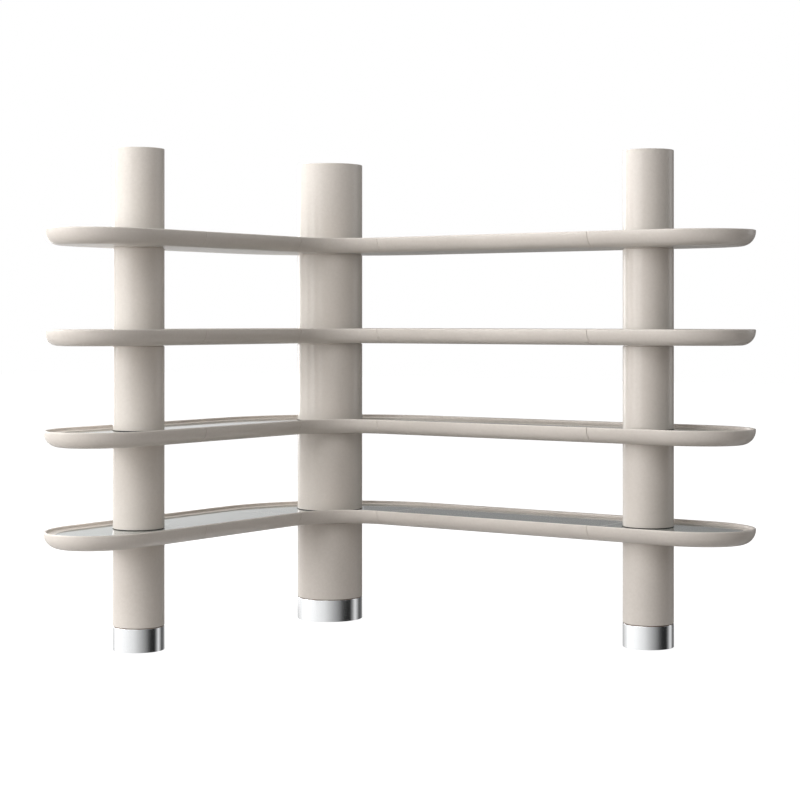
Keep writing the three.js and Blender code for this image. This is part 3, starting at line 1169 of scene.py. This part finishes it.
def floor_material():
    made, tree, surface = new_material("studio_floor")
    tree.nodes.remove(surface)
    share = FLOOR_SEEN_SHARE
    plain = node(tree, "ShaderNodeBsdfDiffuse", {"Color": FLOOR_PAINT}).outputs["BSDF"]
    faint = node(tree, "ShaderNodeBsdfDiffuse", {"Color": (share, share, share, 1)}).outputs["BSDF"]
    reach = 1 / SHADOW_REACH
    pool = node(tree, "ShaderNodeTexGradient",
                {"Vector": stretched(tree, object_place(tree), (reach, reach, reach))},
                gradient_type="SPHERICAL").outputs["Fac"]
    tone = ramp(tree, pool, [(0.0, FAR_GLOW), (NEAR_SHARE, NEAR_GLOW)])
    glow = node(tree, "ShaderNodeEmission", {"Color": tone}).outputs["Emission"]
    seen = node(tree, "ShaderNodeAddShader", {0: faint, 1: glow}).outputs["Shader"]
    mixed = node(tree, "ShaderNodeMixShader", {0: seen_directly(tree), 1: plain, 2: seen})
    plug(tree, tree.nodes["Material Output"], {"Surface": mixed.outputs["Shader"]})
    return made


floor = start(bpy.ops.mesh.primitive_plane_add, size=FLOOR_SIZE, location=(0, 0, frame_low.z))
finished(floor, "studio_floor")
floor.data.materials.append(floor_material())
floor.visible_glossy = False
print("floor", FLOOR_SIZE, "m wide at height", round(frame_low.z, 4))

# %% World
AMBIENT = (1.0, 0.99, 0.98, 1)
AMBIENT_STRENGTH = 0.31
WHITE = (1, 1, 1, 1)

world = bpy.data.worlds.new("studio_world")
bpy.context.scene.world = world
world.use_nodes = True
tree = world.node_tree
even = tree.nodes["Background"]
plug(tree, even, {"Color": AMBIENT, "Strength": AMBIENT_STRENGTH})
white = node(tree, "ShaderNodeBackground", {"Color": WHITE, "Strength": 1.0})
both = node(tree, "ShaderNodeMixShader",
            {0: seen_directly(tree), 1: even.outputs["Background"], 2: white.outputs["Background"]})
plug(tree, tree.nodes["World Output"], {"Surface": both.outputs["Shader"]})
bpy.context.scene.view_settings.view_transform = "Standard"
print("even light of strength", AMBIENT_STRENGTH)

# %% [markdown]
# ## Reflection cards
# Polished metal has hardly any colour of its own: it shows the room. So a photographer puts cards
# round it. A white card on the left gives each ring its broad white band. A low grey strip in front
# of that card draws a fine outline at the ring's left edge. The front card falls from white to
# nearly black towards the right. The side card stays dark but for one bright stripe, the thin line
# near the ring's right edge, and the rear card closes the circle.
#
# Cards are parts of a tall ring round the object, spun from one upright edge. Only mirrors see them,
# so they light nothing else.
#
# Bearings are counted from the camera's side of the object, positive towards the camera's right.

# %% Bearings
toward_camera = Vector((CAMERA_PLACE.x, CAMERA_PLACE.y, 0)).normalized()
camera_right = Vector((math.cos(CAMERA_HEADING), math.sin(CAMERA_HEADING), 0))


def bearing_side(bearing):
    """The level direction from the object at a bearing in degrees."""
    angle = math.radians(bearing)
    return toward_camera * math.cos(angle) + camera_right * math.sin(angle)


print("bearing 0 is the direction", tuple(round(part, 3) for part in bearing_side(0)))

# %% Reflection cards
CARD_DISTANCE = 10
CARD_LOW = -6
CARD_HIGH = 10
CARD_STEP_DEGREES = 4
EDGE_CARD_DISTANCE = 9.5
EDGE_CARD_HIGH = -1.2


def card_material(name, from_bearing, to_bearing, tones):
    """Glows with tones that are spread evenly from one upright edge of the card to the other."""
    made, tree, surface = new_material(name)
    tree.nodes.remove(surface)
    start_angle = math.atan2(*reversed(bearing_side(from_bearing).xy))
    turned = node(tree, "ShaderNodeMapping",
                  {"Vector": object_place(tree), "Rotation": (0, 0, -start_angle - math.pi)})
    around = node(tree, "ShaderNodeTexGradient", {"Vector": turned.outputs["Vector"]},
                  gradient_type="RADIAL").outputs["Fac"]
    width = (to_bearing - from_bearing) / 360
    stops = [(width * share / (len(tones) - 1), tone) for share, tone in enumerate(tones)]
    glow = node(tree, "ShaderNodeEmission", {"Color": ramp(tree, around, stops)})
    plug(tree, tree.nodes["Material Output"], {"Surface": glow.outputs["Emission"]})
    return made


def reflection_card(name, from_bearing, to_bearing, tones, distance=CARD_DISTANCE, top=CARD_HIGH):
    edge_place = bearing_side(from_bearing) * distance
    height = top - CARD_LOW
    card = start(bpy.ops.mesh.primitive_plane_add, size=height,
                 location=(*edge_place.xy, CARD_LOW + height / 2), rotation=(math.pi / 2, 0, 0))
    choose(card, "VERT", lambda v: v.co.x > edge_place.x)
    bpy.ops.mesh.delete(type="VERT")
    bpy.ops.mesh.select_all(action="SELECT")
    bpy.ops.transform.translate(value=(height / 2, 0, 0))
    width = to_bearing - from_bearing
    bpy.ops.mesh.spin(steps=round(width / CARD_STEP_DEGREES), angle=math.radians(width),
                      center=(0, 0, 0), axis=DOWN)
    finished(card, name)
    card.data.materials.append(card_material(name, from_bearing, to_bearing, tones))
    card.visible_camera = False
    card.visible_diffuse = False
    card.visible_transmission = False
    card.visible_shadow = False
    return card


cards = [
    reflection_card("white_card", -178, -54, (0.70, 1.25, 1.15, 1.15, 1.02)),
    reflection_card("edge_card", -178, -122, (0.45, 0.68, 1.0),
                    distance=EDGE_CARD_DISTANCE, top=EDGE_CARD_HIGH),
    reflection_card("front_card", -54, 48, (1.0, 0.90, 0.81, 0.62, 0.44, 0.29, 0.11)),
    reflection_card("side_card", 48, 132, (0.10, 0.037, 0.02, 0.03, 0.30, 0.80, 0.45, 0.10)),
    reflection_card("rear_card", 132, 182, (0.10, 0.12, 0.36, 0.36)),
]
print("cards:", [card.name for card in cards])

# %% [markdown]
# ## Studio light
# Four softboxes near the height of the top shelf stand round the left side, from the front to the
# rear. They give each column its bright left side and leave the inner face of the left wing in
# shade. Three boxes above light the rims, the ledges and the caps, and a weak one on the right,
# behind the object, draws the thin light line on the right edges.

# %% Softboxes
AIM = Vector((0, 0, 1.0))
softboxes = {
    # name: bearing in degrees, height, distance and size in metres, power in watts
    "front_left": (-45, 1.8, 8.0, 3.0, 142),
    "key_left": (-70, 1.8, 8.0, 3.0, 180),
    "wrap_left": (-100, 1.8, 8.0, 3.0, 108),
    "rear_left": (-145, 1.8, 8.0, 3.0, 135),
    "top_front": (-30, 4.5, 5.0, 3.0, 110),
    "top_left": (-90, 4.5, 1.5, 2.5, 30),
    "top_rear": (-125, 4.5, 4.5, 2.5, 125),
    "rear_right": (110, 1.8, 8.0, 3.0, 43),
}


def softbox(name, bearing, height, distance, size, power):
    place = bearing_side(bearing) * distance + Vector((0, 0, height))
    facing = (AIM - place).to_track_quat("-Z", "Y").to_euler()
    bpy.ops.object.light_add(type="AREA", location=place, rotation=facing)
    lamp = bpy.context.object
    lamp.name = name
    lamp.data.shape = "SQUARE"
    lamp.data.size = size
    lamp.data.energy = power


for name, settings in softboxes.items():
    softbox(name, *settings)
print("softboxes:", len(softboxes))
